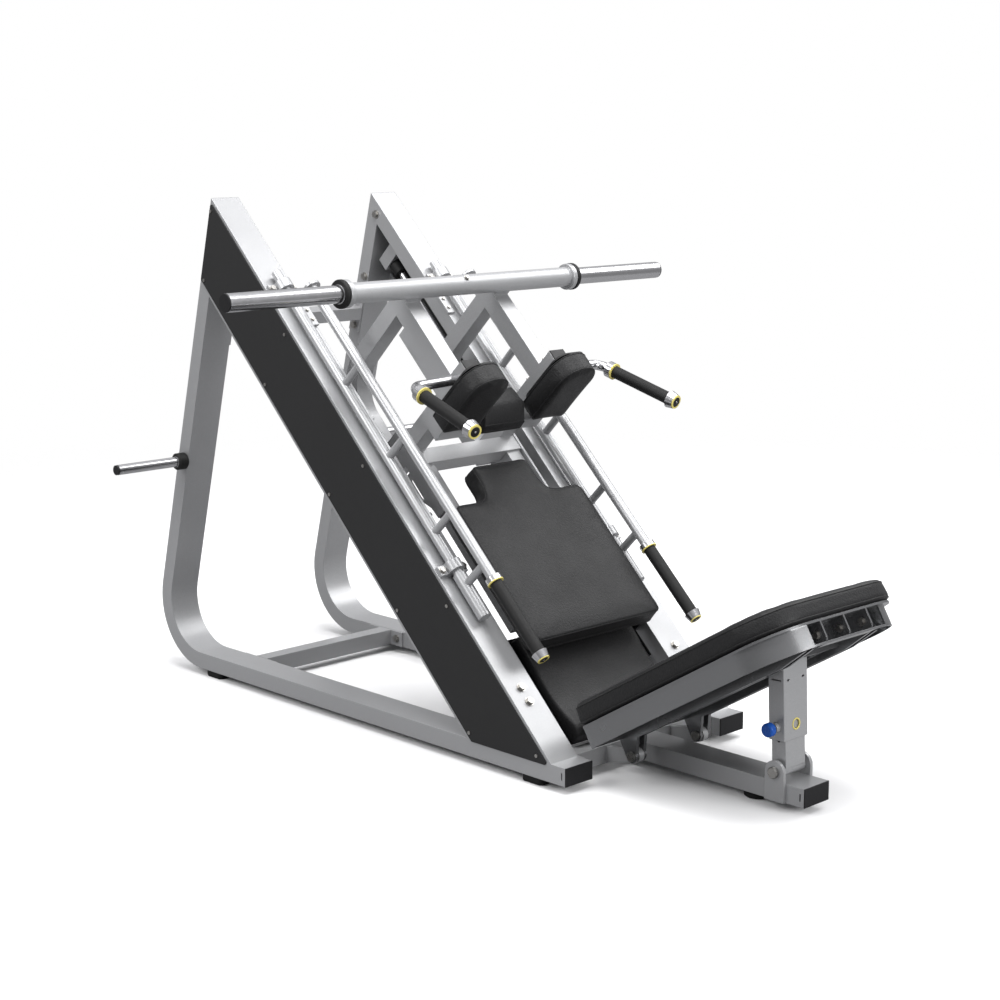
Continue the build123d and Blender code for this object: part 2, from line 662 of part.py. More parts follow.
with BuildPart() as lever_bearings:
    for side in (1, -1):
        body = sorted((side * (LEVER_X - BLOCK_RADIUS), side * (LEVER_X + BLOCK_RADIUS)))
        for s in LEVER_BLOCKS_S:
            span = (s - BLOCK_HALF, s + BLOCK_HALF)
            slope_box(sorted((side * 261, side * 357)), span, (0, BLOCK_BASE))
            slope_rod(side * LEVER_X, LEVER_N, span, BLOCK_RADIUS)
            slope_box(body, span, (0, LEVER_N))
            slope_rod(side * LEVER_X, LEVER_N, span, SHAFT_RADIUS + RUNNING_GAP, Mode.SUBTRACT)
            slope_box((-400, 400), (s - 20, s + 20), (-20, 0), Mode.SUBTRACT)
            for x in BLOCK_BOLTS_X:
                round_hole(slope_face(BLOCK_BASE, side * x, s), BLOCK_BOLT + HOLE_GAP, BLOCK_BASE)
write(lever_bearings.part, "lever_bearings")

# ---- Carriage: a welded frame that runs up the guide rods ----
BAR = slope_point(0, BAR_S, BAR_N)
LEG_FRONT_S = LEG_BEND_S + LEG_BEND_IN
LEG_REAR_S = LEG_FRONT_S + LEG_DEPTH
LEG_LOW_N = LEG_BEND_N - LEG_BEND_IN - LEG_DEPTH
SIDE_PLATE = 8.0
WEB = 10.0
WEB_N = (-130.0, -56.0)
WEB_OUT_X = 284.0
BRACKET_CAP = 4.0
HEAD_TUBE_N = (105.0, 149.0)
BACK_PAD_N = (28.0, 88.0)
BACK_HALF = 255.0
BACK_LOW_S = 375.0
BACK_SHOULDER_S = 838.0
BACK_TOP_S = 955.0
NECK_HALF = 112.0
SHOULDER_PAD_S = (1010.0, 1078.0)
SHOULDER_X = 173.0
SHOULDER_N = 287.0
SHOULDER_WIDTH = 138.0
SHOULDER_HEIGHT = 226.0
PAD_BOLT_X = (158.0, 180.0)


def bearing_web(side, s):
    """A plate that reaches from the carriage, under the beam, to a bearing housing."""
    with BuildSketch(slope_section(s + WEB / 2)) as profile:
        with BuildLine():
            Polyline(
                (side * (RAIL_OUT - 1), WEB_N[1]), (side * WEB_OUT_X, WEB_N[1]),
                (side * WEB_OUT_X, WEB_N[0]), (side * (RAIL_OUT - 1), WEB_N[0]), close=True,
            )
        make_face()
    extrude(profile.sketch, amount=WEB)


with BuildPart() as carriage_frame:
    for side in (1, -1):
        rail = sorted((side * RAIL_IN, side * RAIL_OUT))
        # Rear leg: down from the bar, then bent forward to pass below the beams
        with BuildSketch(slope_side(rail[0])):
            Polygon(
                (LEG_FRONT_S, BAR_N), (LEG_REAR_S, BAR_N), (LEG_REAR_S, LEG_LOW_N),
                (BRACKET_LOW_S, LEG_LOW_N), (BRACKET_LOW_S, LEG_LOW_N + LEG_DEPTH),
                (LEG_FRONT_S, LEG_LOW_N + LEG_DEPTH), align=None,
            )
            fillet(vertices().sort_by_distance((LEG_REAR_S, LEG_LOW_N, 0))[0], LEG_BEND_IN + LEG_DEPTH)
            fillet(vertices().sort_by_distance((LEG_FRONT_S, LEG_LOW_N + LEG_DEPTH, 0))[0], LEG_BEND_IN)
        extrude(amount=RAIL_OUT - RAIL_IN)
        # Front leg with its stiffening plate, and the upright shoulder bracket
        slope_box(rail, (BRACKET_HIGH_S, LEG_FRONT_S), (231, 286))
        slope_box(sorted((side * 194, side * RAIL_OUT)), (BRACKET_HIGH_S, 1347), (200, 231))
        slope_box(rail, (BRACKET_LOW_S, BRACKET_HIGH_S), (LEG_LOW_N + LEG_DEPTH, BRACKET_TOP_N))
        # Rails below the back pad
        slope_box(sorted((side * RAIL_IN, side * 195)), (480, BRACKET_LOW_S), (-42, 0))
        # Side plate with its window, slot and tapered lower end
        plate_x = sorted((side * RAIL_OUT, side * (RAIL_OUT + SIDE_PLATE)))
        with BuildSketch(slope_side(plate_x[0])):
            Polygon((1160, 10), (874, 10), (874, -35), (912, -38), (956, -59), (985, -130), (1160, -130),
                    align=None)
            with Locations((1052, -52)):
                Rectangle(24, 24, mode=Mode.SUBTRACT)
            with Locations((986, -50)):
                SlotOverall(74, 12, mode=Mode.SUBTRACT)
        extrude(amount=SIDE_PLATE)
        slope_box(sorted((side * 190, side * RAIL_OUT)), (880, 1075), (-38, -4))
        for low_s in HOUSING_LOW_S:
            for s in (low_s + 25, low_s + HOUSING_LENGTH - 25):
                bearing_web(side, s)
            slope_rod(side * FRAME_X, ROD_N, (low_s, low_s + HOUSING_LENGTH), HOUSING_RADIUS)
            slope_rod(side * FRAME_X, ROD_N, (low_s, low_s + HOUSING_LENGTH),
                      BEARING_RADIUS + RUNNING_GAP, Mode.SUBTRACT)
    # Cross tubes between the two sides
    slope_box((-RAIL_OUT, RAIL_OUT), (1033, BRACKET_LOW_S), (-42, 8))
    slope_box((-RAIL_OUT, RAIL_OUT), (1040, BRACKET_LOW_S), HEAD_TUBE_N)
    slope_box((-RAIL_IN, RAIL_IN), (500, 540), (-42, 0))
    # Saddles for the loading bar, then the holes for the shoulder pads' bolts
    cross_rod(BAR, (-250, 250), BAR_RADIUS + RUNNING_GAP, Mode.SUBTRACT)
    for side in (1, -1):
        for n in PAD_BOLTS_N:
            for x in PAD_BOLT_X:
                spot = Plane(origin=slope_point(side * x, BRACKET_HIGH_S, n), x_dir=(1, 0, 0),
                             z_dir=(0, ROOT, ROOT))
                round_hole(spot, BLOCK_BOLT + HOLE_GAP, BRACKET_HIGH_S - BRACKET_LOW_S)
write(carriage_frame.part, "carriage_frame")

with BuildPart() as linear_bearings:
    for x in (-FRAME_X, FRAME_X):
        for low_s in HOUSING_LOW_S:
            span = (low_s + 1, low_s + HOUSING_LENGTH - 1)
            slope_rod(x, ROD_N, span, BEARING_RADIUS)
            slope_rod(x, ROD_N, span, ROD_RADIUS + RUNNING_GAP, Mode.SUBTRACT)
write(linear_bearings.part, "linear_bearings")

FLANGE_IN_X = BAR_HALF - 6.0
FLANGE_OUT_X = BAR_HALF + 10.0
PLUG_X = SLEEVE_END_X - 4.0

with BuildPart() as loading_bar:
    cross_rod(BAR, (-FLANGE_OUT_X, FLANGE_OUT_X), BAR_RADIUS)
    for side in (1, -1):
        cross_rod(BAR, sorted((side * FLANGE_IN_X, side * FLANGE_OUT_X)), COLLAR_RADIUS - 1)
    fillet(loading_bar.edges().filter_by(GeomType.CIRCLE).filter_by(lambda e: e.radius > 35), 2.5)
    with BuildSketch(slope_face(BAR_N, 0, BAR_S)):
        Circle(4 + HOLE_GAP)
    extrude(amount=BAR_RADIUS, mode=Mode.SUBTRACT)
write(loading_bar.part, "loading_bar")

# Each sleeve has a wider seat for its rubber collar, then the 50 mm length that takes the plates.
SEAT_RADIUS = 27.0
SEAT_END_X = FLANGE_OUT_X + COLLAR_LENGTH
PLUG_RADIUS = 24.4

with BuildPart() as loading_sleeve:
    cross_rod(BAR, (FLANGE_OUT_X, SEAT_END_X), SEAT_RADIUS)
    cross_rod(BAR, (SEAT_END_X, PLUG_X), SLEEVE_RADIUS)
write_pair(loading_sleeve.part, "loading_sleeve")

with BuildPart() as sleeve_collars:
    for side in (1, -1):
        span = sorted((side * FLANGE_OUT_X, side * SEAT_END_X))
        cross_rod(BAR, span, COLLAR_RADIUS)
        cross_rod(BAR, span, SEAT_RADIUS + RUNNING_GAP, Mode.SUBTRACT)
    outer_edges = sleeve_collars.edges().filter_by(GeomType.CIRCLE).filter_by(lambda e: e.radius > 35)
    fillet(outer_edges, 4)
write(sleeve_collars.part, "sleeve_collars")

with BuildPart() as carriage_end_plugs:
    for side in (1, -1):
        cross_rod(BAR, sorted((side * PLUG_X, side * SLEEVE_END_X)), PLUG_RADIUS)
        # Cap on the open end of each shoulder bracket
        rail = sorted((side * RAIL_IN, side * RAIL_OUT))
        slope_box(rail, (BRACKET_LOW_S, BRACKET_HIGH_S), (BRACKET_TOP_N, BRACKET_TOP_N + BRACKET_CAP))
    fillet(carriage_end_plugs.edges().filter_by(lambda e: 40 < e.length < 60), 1.5)
write(carriage_end_plugs.part, "carriage_end_plugs")

with BuildPart() as carriage_bolts:
    hex_bolt(slope_face(BAR_N + BAR_RADIUS + 0.2, 0, BAR_S), 4, 24)
    for side in (1, -1):
        for n in PAD_BOLTS_N:
            for x in PAD_BOLT_X:
                spot = Plane(origin=slope_point(side * x, BRACKET_HIGH_S, n), x_dir=(1, 0, 0),
                             z_dir=(0, ROOT, ROOT))
                hex_bolt(spot, BLOCK_BOLT, 52.5)
write(carriage_bolts.part, "carriage_bolts")

# ---- Pads on the carriage ----
with BuildPart() as shoulder_pad:
    with BuildSketch(slope_section(SHOULDER_PAD_S[1])):
        with Locations((SHOULDER_X, SHOULDER_N)):
            Rectangle(SHOULDER_WIDTH, SHOULDER_HEIGHT)
        fillet(vertices().group_by(Axis.Y)[-1], 62)
        fillet(vertices().group_by(Axis.Y)[0], 14)
    extrude(amount=SHOULDER_PAD_S[1] - SHOULDER_PAD_S[0])
    fillet(shoulder_pad.faces().sort_by(Axis.Z)[0].edges(), 6)
write_pair(shoulder_pad.part, "shoulder_pad")

with BuildPart() as shoulder_pad_plates:
    for side in (1, -1):
        with BuildSketch(slope_section(BRACKET_LOW_S)):
            with Locations((side * SHOULDER_X, SHOULDER_N)):
                RectangleRounded(SHOULDER_WIDTH - 16, SHOULDER_HEIGHT - 18, 40)
            with Locations(*[(side * x, n) for x in PAD_BOLT_X for n in PAD_BOLTS_N]):
                Circle(BLOCK_BOLT + HOLE_GAP, mode=Mode.SUBTRACT)
        extrude(amount=BRACKET_LOW_S - SHOULDER_PAD_S[1])
write(shoulder_pad_plates.part, "shoulder_pad_plates")

with BuildPart() as head_pad:
    with BuildSketch(slope_side(-80)):
        Polygon((1008, 149.2), (1011, 184), (1049, 222), (1120, 214), (1120, 149.2), align=None)
        fillet(vertices(), 8)
    extrude(amount=160)
write(head_pad.part, "head_pad")

with BuildPart() as back_pad:
    with BuildSketch(slope_face(BACK_PAD_N[0])):
        with Locations((0, (BACK_LOW_S + BACK_SHOULDER_S) / 2)):
            Rectangle(2 * BACK_HALF, BACK_SHOULDER_S - BACK_LOW_S)
        with Locations((0, (BACK_SHOULDER_S + BACK_TOP_S) / 2)):
            Rectangle(2 * NECK_HALF, BACK_TOP_S - BACK_SHOULDER_S)
        for x in (-NECK_HALF, NECK_HALF):
            fillet(vertices().sort_by_distance((x, BACK_SHOULDER_S, 0))[0], 42)
            fillet(vertices().sort_by_distance((x, BACK_TOP_S, 0))[0], 18)
        for x in (-BACK_HALF, BACK_HALF):
            for s in (BACK_LOW_S, BACK_SHOULDER_S):
                fillet(vertices().sort_by_distance((x, s, 0))[0], 22)
    extrude(amount=BACK_PAD_N[1] - BACK_PAD_N[0])
    fillet(back_pad.faces().sort_by(lambda f: f.center().Z - f.center().Y)[-1].edges(), 7)
write(back_pad.part, "back_pad")

with BuildPart() as back_pad_plate:
    slope_box((-200, 200), (420, 800), (BACK_PAD_N[0] - 6, BACK_PAD_N[0]))
    slope_box((-90, 90), (800, 930), (BACK_PAD_N[0] - 6, BACK_PAD_N[0]))
    for x in (-170, 170):
        for s in (500, 740):
            slope_box((x - 20, x + 20), (s, s + 40), (0, BACK_PAD_N[0] - 6))
write(back_pad_plate.part, "back_pad_plate")

# ---- Shoulder handles ----
ARM_RADIUS = 14.5
ARM_S = 1105.0
ARM_N = 294.0
CORNER_X = 368.0
CORNER_S = 1098.0
GRIP_X = 0.094
GRIP_S = -0.886
GRIP_N = 0.457
BEND_R = 36.0
ARM_IN_X = RAIL_OUT + 0.8
GRIP_START = 60.0
GRIP_TUBE_START = GRIP_START - 4
GRIP_END = 266.0


def handle_point(distance):
    """A point on the grip's axis, measured from the corner of the handle."""
    return slope_point(CORNER_X + GRIP_X * distance, CORNER_S + GRIP_S * distance,
                       ARM_N + GRIP_N * distance)


def grip_rod(start, end, radius, mode=Mode.ADD):
    """A stretch of round bar on the right-hand grip's axis."""
    straight_rod(handle_point(start), handle_point(end), radius, mode)


def both_sides(piece):
    """A right-hand piece together with its mirror image."""
    return Compound(children=[piece, mirror(piece, about=Plane.YZ)])


with BuildPart() as shoulder_handle:
    with BuildLine() as path:
        FilletPolyline(
            Vector(*slope_point(ARM_IN_X, ARM_S, ARM_N)),
            Vector(*slope_point(CORNER_X, CORNER_S, ARM_N)),
            Vector(*handle_point(GRIP_TUBE_START)),
            radius=BEND_R,
        )
    with BuildSketch(Plane(origin=path.line @ 0, z_dir=path.line % 0)):
        Circle(ARM_RADIUS)
    sweep()
    grip_rod(GRIP_TUBE_START, GRIP_END, CORE_RADIUS)
write_pair(shoulder_handle.part, "shoulder_handle")

with BuildPart() as handle_grip:
    grip_rod(GRIP_START, GRIP_END - 1, GRIP_RADIUS)
    grip_rod(GRIP_START - 10, GRIP_END + 10, CORE_RADIUS + RUNNING_GAP, Mode.SUBTRACT)
write(both_sides(handle_grip.part), "handle_grips")

with BuildPart() as handle_ferrules:
    grip_rod(GRIP_START - 24, GRIP_START - 4, 24)
    grip_rod(GRIP_START - 26, GRIP_START - 2, ARM_RADIUS + 0.5, Mode.SUBTRACT)
    grip_axis = Vector(*handle_point(1)) - Vector(*handle_point(0))
    cone_start = Plane(origin=handle_point(GRIP_END), z_dir=grip_axis)
    with BuildSketch(cone_start):
        Circle(25.5)
    with BuildSketch(cone_start.offset(21)):
        Circle(21)
    loft()
write(both_sides(handle_ferrules.part), "handle_ferrules")

with BuildPart() as handle_rings:
    grip_rod(GRIP_START - 3.8, GRIP_START - 0.2, 24.5)
    grip_rod(GRIP_START - 6, GRIP_START + 2, ARM_RADIUS + 0.5, Mode.SUBTRACT)
    grip_rod(GRIP_END + 21.2, GRIP_END + 24, 20)
write(both_sides(handle_rings.part), "handle_rings")

# ---- Foot plate ----
HINGE_U = -(HINGE_Y - PLATE_Y) * TILT_COS + (HINGE_Z - PLATE_Z) * TILT_SIN
HINGE_V = (HINGE_Y - PLATE_Y) * TILT_SIN + (HINGE_Z - PLATE_Z) * TILT_COS
HINGE = level_point(0, HINGE_Y, HINGE_Z)
LIP = 6.0
LIP_INSET = 8.0
RIM_WALL = 5.0
RIM_INSET = 9.0
OPENING_HALF = 144.0
CHEEK_X = ((110.0, 120.0), (140.0, 150.0))
RIM_END = PLATE_LENGTH - RIM_INSET
RIM_CORNER = 165.0
END_RIBS_X = (-97.0, -5.0, 87.0)
END_RIB = 5.0
END_RIB_U = (RIM_END - 48, RIM_END + 1)
END_BOLT_U = RIM_END - 24
END_BOLT_V = -33.0
TOP_BOLT_RADIUS = 6.0


def plate_outline(inset, corner):
    """Outline of the foot plate: square at the hinge, well rounded at the outer end."""
    with Locations((0, PLATE_LENGTH / 2)):
        Rectangle(2 * (PLATE_HALF - inset), PLATE_LENGTH - 2 * inset)
    fillet(vertices().group_by(Axis.Y)[-1], corner)
    fillet(vertices().group_by(Axis.Y)[0], 16 - inset)


def plate_box(x_range, u_range, v_range, mode=Mode.ADD):
    """A block aligned with the foot plate."""
    with BuildSketch(plate_face(v_range[0])) as profile:
        with Locations((-sum(x_range) / 2, sum(u_range) / 2)):
            Rectangle(x_range[1] - x_range[0], u_range[1] - u_range[0])
    extrude(profile.sketch, amount=v_range[1] - v_range[0], mode=mode)


with BuildPart() as foot_pad:
    with BuildSketch(plate_face(0.2)):
        plate_outline(0, PLATE_CORNER)
    extrude(amount=PLATE_PAD)
    fillet(foot_pad.faces().sort_by(Axis.Z)[-1].edges(), 13)
write(foot_pad.part, "foot_pad")

with BuildPart() as foot_plate_frame:
    with BuildSketch(plate_face(-LIP)):
        plate_outline(LIP_INSET, PLATE_CORNER - LIP_INSET)
    extrude(amount=LIP)
    with BuildSketch(plate_face(RIM_LOW)):
        plate_outline(RIM_INSET, RIM_CORNER)
        offset(amount=-RIM_WALL, mode=Mode.SUBTRACT)
    extrude(amount=-RIM_LOW - LIP)
    # Opening in the outer rim, with a flange below it and three bolted ribs inside
    plate_box((-OPENING_HALF, OPENING_HALF), (RIM_END - RIM_WALL - 12, RIM_END), (RIM_LOW + 5, -LIP),
              Mode.SUBTRACT)
    plate_box((-OPENING_HALF + 40, OPENING_HALF - 40), (RIM_END - 36, RIM_END), (RIM_LOW, RIM_LOW + 5))
    for x in END_RIBS_X:
        with BuildSketch(plate_side(x + END_RIB / 2)):
            with Locations((sum(END_RIB_U) / 2, (RIM_LOW + 4 - LIP) / 2)):
                Rectangle(END_RIB_U[1] - END_RIB_U[0], -LIP - RIM_LOW - 4)
            fillet(vertices().sort_by_distance((END_RIB_U[1], RIM_LOW + 4, 0))[0], 13)
            with Locations((END_BOLT_U, END_BOLT_V)):
                Circle(BLOCK_BOLT + HOLE_GAP, mode=Mode.SUBTRACT)
        extrude(amount=END_RIB)
    # Two pairs of ribs, whose ends are the cheeks of the hinge
    for low, high in CHEEK_X:
        for side in (1, -1):
            rib_x = max(side * low, side * high)
            with BuildSketch(plate_side(rib_x)):
                with BuildLine():
                    Polyline((14, -LIP), (690, -LIP), (690, RIM_LOW), (600, -75), (62, -75),
                             (HINGE_U + 18, HINGE_V))
                    ThreePointArc((HINGE_U + 18, HINGE_V), (HINGE_U, HINGE_V - 18),
                                  (HINGE_U - 18, HINGE_V))
                    Polyline((HINGE_U - 18, HINGE_V), (0, RIM_LOW), (14, -LIP))
                make_face()
                with Locations((HINGE_U, HINGE_V)):
                    Circle(HINGE_PIN_RADIUS + RUNNING_GAP, mode=Mode.SUBTRACT)
            extrude(amount=high - low)
    # Ears that hold the bolt at the top of the post, on a cross rib
    for x_range in ((-60, -53), (53, 60)):
        plate_box(x_range, (440, 590), (RIM_LOW, -LIP))
    for u in (440, 584):
        plate_box((-110, 110), (u, u + 6), (RIM_LOW, -LIP))
    cross_rod(POST_TOP, (-70, 70), TOP_BOLT_RADIUS + HOLE_GAP, Mode.SUBTRACT)
write(foot_plate_frame.part, "foot_plate_frame")

with BuildPart() as foot_plate_hinge_pins:
    for side in (1, -1):
        cross_rod(HINGE, sorted((side * 106, side * 154)), HINGE_PIN_RADIUS)
        for low, high in ((105.0, 109.8), (150.2, 155.0)):
            cross_rod(HINGE, sorted((side * low, side * high)), 13)
write(foot_plate_hinge_pins.part, "foot_plate_hinge_pins")

with BuildPart() as foot_plate_bolts:
    for side in (1, -1):
        spot = Plane(origin=(side * 60, POST_TOP[1], POST_TOP[2]), x_dir=(0, 1, 0), z_dir=(side, 0, 0))
        hex_bolt(spot, TOP_BOLT_RADIUS, 60)
    for x in END_RIBS_X:
        head_x = x - END_RIB / 2
        spot = Plane(origin=plate_point(head_x, END_BOLT_U, END_BOLT_V), x_dir=(0, 1, 0), z_dir=(-1, 0, 0))
        hex_bolt(spot, BLOCK_BOLT, 14)
write(foot_plate_bolts.part, "foot_plate_bolts")

# ---- Telescopic post that sets the foot plate's tilt ----
POST_IN_HALF = 39.5
POST_IN_DEPTH = 21.5
POST_OUT_HALF = 48.0
POST_OUT_DEPTH = 25.0
POST_SLIDE_GAP = 0.5
POST_WALL = 4.0
POST_IN_TOP = 222.0
POST_OUT_LOW = 80.0
PIVOT_RADIUS = 8.0
PIN_RISE = 114.0
PIN_RADIUS = 4.95
WINDOW_RISE = 118.0
SLOT_RISE = 236.0
PULL_REACH = 6.0
PIVOT_MISMATCH = 5.0


def post_box(half_x, half_depth, low, high, mode=Mode.ADD):
    """A block centred on the post's axis."""
    with BuildSketch(post_section(low)) as profile:
        Rectangle(2 * half_x, 2 * half_depth)
    extrude(profile.sketch, amount=high - low, mode=mode)


with BuildPart() as post_inner_tube:
    post_box(POST_IN_HALF, POST_IN_DEPTH, 8, POST_IN_TOP)
    post_box(POST_IN_HALF - POST_WALL, POST_IN_DEPTH - POST_WALL, 22, POST_IN_TOP, Mode.SUBTRACT)
    cross_rod(POST_FOOT, (-49.5, 49.5), 16)
    cross_rod(POST_FOOT, (-49.5, 49.5), PIVOT_RADIUS + RUNNING_GAP, Mode.SUBTRACT)
    for step in range(-2, 6):
        centre = post_point(0, 0, PIN_RISE + step * INDEX_PITCH)
        cross_rod(centre, (-POST_IN_HALF, -POST_IN_HALF + POST_WALL), PIN_RADIUS + 0.6, Mode.SUBTRACT)
write(post_inner_tube.part, "post_inner_tube")

with BuildPart() as post_pivot_bolt:
    cross_rod(POST_FOOT, (-66, 66), PIVOT_RADIUS)
    for side in (1, -1):
        cross_rod(POST_FOOT, sorted((side * 60.2, side * 70)), 15)
    heads = post_pivot_bolt.edges().filter_by(GeomType.CIRCLE).filter_by(lambda e: e.radius > 14)
    chamfer(heads, 2)
write(post_pivot_bolt.part, "post_pivot_bolt")

with BuildPart() as post_outer_tube:
    top_rise = POST_LENGTH + 13
    post_box(POST_OUT_HALF, POST_OUT_DEPTH, POST_OUT_LOW, top_rise)
    fillet(post_outer_tube.edges().filter_by(lambda e: e.length > 150), 3)
    # Boss for the pull pin
    boss_in = post_point(-POST_OUT_HALF + 2, 0, PIN_RISE)
    cross_rod(boss_in, (-62, -POST_OUT_HALF + 2), 13)
    post_box(POST_IN_HALF + POST_SLIDE_GAP, POST_IN_DEPTH + POST_SLIDE_GAP, POST_OUT_LOW, top_rise,
             Mode.SUBTRACT)
    cross_rod(boss_in, (-62, -POST_IN_HALF), PIN_RADIUS + RUNNING_GAP, Mode.SUBTRACT)
    cross_rod(POST_TOP, (-60, 60), TOP_BOLT_RADIUS + PIVOT_MISMATCH, Mode.SUBTRACT)
    # Window in the front wall, two small slots above it and a slit in the left wall
    front = Plane(origin=post_point(0, -POST_OUT_DEPTH, WINDOW_RISE), x_dir=(1, 0, 0),
                  z_dir=(0, -POST_COS, POST_SIN))
    with BuildSketch(front):
        Circle(12)
        with Locations((-30, SLOT_RISE - WINDOW_RISE), (30, SLOT_RISE - WINDOW_RISE)):
            SlotOverall(10, 5)
    extrude(amount=-4, mode=Mode.SUBTRACT)
    left = Plane(origin=post_point(-POST_OUT_HALF, 0, SLOT_RISE), x_dir=(0, POST_COS, -POST_SIN),
                 z_dir=(-1, 0, 0))
    with BuildSketch(left):
        Rectangle(30, 3)
    extrude(amount=-9, mode=Mode.SUBTRACT)
write(post_outer_tube.part, "post_outer_tube")

PIN_NOSE_X = -POST_IN_HALF - 0.3
KNOB_X = -62 - PULL_REACH - 4
KNOB_LENGTH = 18.0
KNOB_RADIUS = 18.0

with BuildPart() as pull_pin:
    nose = post_point(PIN_NOSE_X, 0, PIN_RISE)
    cross_rod(nose, (KNOB_X - KNOB_LENGTH + 4, PIN_NOSE_X), PIN_RADIUS)
    chamfer(pull_pin.edges().sort_by(Axis.X)[-1], 1)
    cross_rod(nose, (KNOB_X, KNOB_X + 2), 12)
write(pull_pin.part, "pull_pin")

with BuildPart() as pull_knob:
    cross_rod(nose, (KNOB_X - KNOB_LENGTH, KNOB_X), KNOB_RADIUS)
    fillet(pull_knob.edges().sort_by(Axis.X)[0], 6)
    cross_rod(nose, (KNOB_X - KNOB_LENGTH + 4, KNOB_X), PIN_RADIUS + 0.02, Mode.SUBTRACT)
write(pull_knob.part, "pull_knob")
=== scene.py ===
import json
from math import atan2, cos, pi, radians, sin

import bmesh
import bpy
from mathutils import Euler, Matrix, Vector
from mathutils.bvhtree import BVHTree


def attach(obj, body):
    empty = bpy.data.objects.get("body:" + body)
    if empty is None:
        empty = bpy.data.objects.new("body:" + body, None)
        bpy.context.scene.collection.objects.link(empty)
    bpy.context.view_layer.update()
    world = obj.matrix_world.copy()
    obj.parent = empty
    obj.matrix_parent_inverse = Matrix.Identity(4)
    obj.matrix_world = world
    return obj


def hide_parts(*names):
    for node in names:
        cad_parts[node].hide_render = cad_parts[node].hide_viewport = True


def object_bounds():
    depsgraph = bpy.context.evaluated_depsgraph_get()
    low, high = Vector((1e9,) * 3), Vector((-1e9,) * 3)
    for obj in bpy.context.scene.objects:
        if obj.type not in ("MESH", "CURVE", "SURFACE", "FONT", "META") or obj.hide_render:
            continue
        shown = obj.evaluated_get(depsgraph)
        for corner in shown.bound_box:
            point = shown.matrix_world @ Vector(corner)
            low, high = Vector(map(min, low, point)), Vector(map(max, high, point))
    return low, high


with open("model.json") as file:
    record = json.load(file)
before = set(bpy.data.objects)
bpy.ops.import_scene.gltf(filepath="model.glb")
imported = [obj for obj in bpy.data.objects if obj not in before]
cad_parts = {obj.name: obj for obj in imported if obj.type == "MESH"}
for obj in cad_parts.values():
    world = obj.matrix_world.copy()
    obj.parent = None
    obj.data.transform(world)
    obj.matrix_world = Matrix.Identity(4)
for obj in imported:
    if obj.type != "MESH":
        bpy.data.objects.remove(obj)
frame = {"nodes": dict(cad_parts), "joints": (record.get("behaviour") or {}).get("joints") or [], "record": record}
cad_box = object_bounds()

# ---- Shared geometry, in metres ----
# The slope's axes: s runs up the 45 degree rails, n points out from them.
ROOT = 0.5 ** 0.5
UP_SLOPE = Vector((0, ROOT, ROOT))
OUT_SLOPE = Vector((0, -ROOT, ROOT))
FLOOR_Z = cad_box[0][2]
RAIL_ORIGIN = Vector((0, -0.582484, 0.022))

PLATE_TILT = radians(31)
PLATE_UP = Vector((0, -cos(PLATE_TILT), sin(PLATE_TILT)))
PLATE_OUT = Vector((0, sin(PLATE_TILT), cos(PLATE_TILT)))
PLATE_ORIGIN = RAIL_ORIGIN + Vector((0, 0.033, 0.1325))

# Cloth simulation of the pads.
CLOTH_FRAMES = 20
CLOTH_PRESSURE = 3
CLOTH_STIFFNESS = 12
CLOTH_BENDING = 2
HELD_LAYERS = 2.2

# Sewn welts.
WELT_RADIUS = 0.0018
WELT_LIFT = 0.0003

# Studio values.
FLOOR_IN_REFLECTIONS = (0.26, 0.26, 0.264)
FLOOR_FADE = (2.4, 5.5)
SKY_AT_HORIZON = (0.30, 0.30, 0.306)
SKY_OVERHEAD = (0.85, 0.85, 0.87)
BACKDROP = (1.0, 1.0, 1.0)
FLOOR_HALF_SIZE = 14.0
FLOOR_DARK = (0.90, 0.90, 0.902)
FLOOR_LIGHT = (0.92, 0.92, 0.922)
CAMERA_PLACE = (-3.84624, -3.94017, 1.69832)
CAMERA_PITCH = radians(90 - 10.8)
CAMERA_ROLL = radians(0.09)
CAMERA_YAW = radians(-44.13)
CAMERA_LENS = 70.864
CAMERA_SENSOR = 36


def on_slope(x, s, n):
    """A point s up the rails and n out from the beams' top faces."""
    return RAIL_ORIGIN + Vector((x, 0, 0)) + UP_SLOPE * s + OUT_SLOPE * n


def on_plate(x, u, v):
    """A point u up the foot plate and v out from the underside of its pad."""
    return PLATE_ORIGIN + Vector((x, 0, 0)) + PLATE_UP * u + PLATE_OUT * v


# ---- Materials: every one is a node tree with its own fine detail ----
def new_material(name):
    """An empty Principled material, with its tree and shader."""
    material = bpy.data.materials.new(name)
    material.use_nodes = True
    tree = material.node_tree
    shader = tree.nodes["Principled BSDF"]
    return material, tree, shader


def add_node(tree, kind, **values):
    """A node with its inputs set by name."""
    node = tree.nodes.new(kind)
    for key, value in values.items():
        node.inputs[key.replace("_", " ")].default_value = value
    return node


def object_coordinates(tree):
    """The piece's own coordinates, for every texture."""
    return tree.nodes.new("ShaderNodeTexCoord").outputs["Object"]


def noise(tree, scale, detail=4.0, roughness=0.6):
    """Noise in the piece's own coordinates."""
    node = add_node(tree, "ShaderNodeTexNoise", Scale=scale, Detail=detail, Roughness=roughness)
    tree.links.new(object_coordinates(tree), node.inputs["Vector"])
    return node.outputs["Fac"]


def map_range(tree, value, low, high):
    """The value, rescaled from 0.3..0.7 to a wanted range."""
    node = tree.nodes.new("ShaderNodeMapRange")
    tree.links.new(value, node.inputs["Value"])
    node.inputs["From Min"].default_value = 0.3
    node.inputs["From Max"].default_value = 0.7
    node.inputs["To Min"].default_value = low
    node.inputs["To Max"].default_value = high
    return node.outputs["Result"]


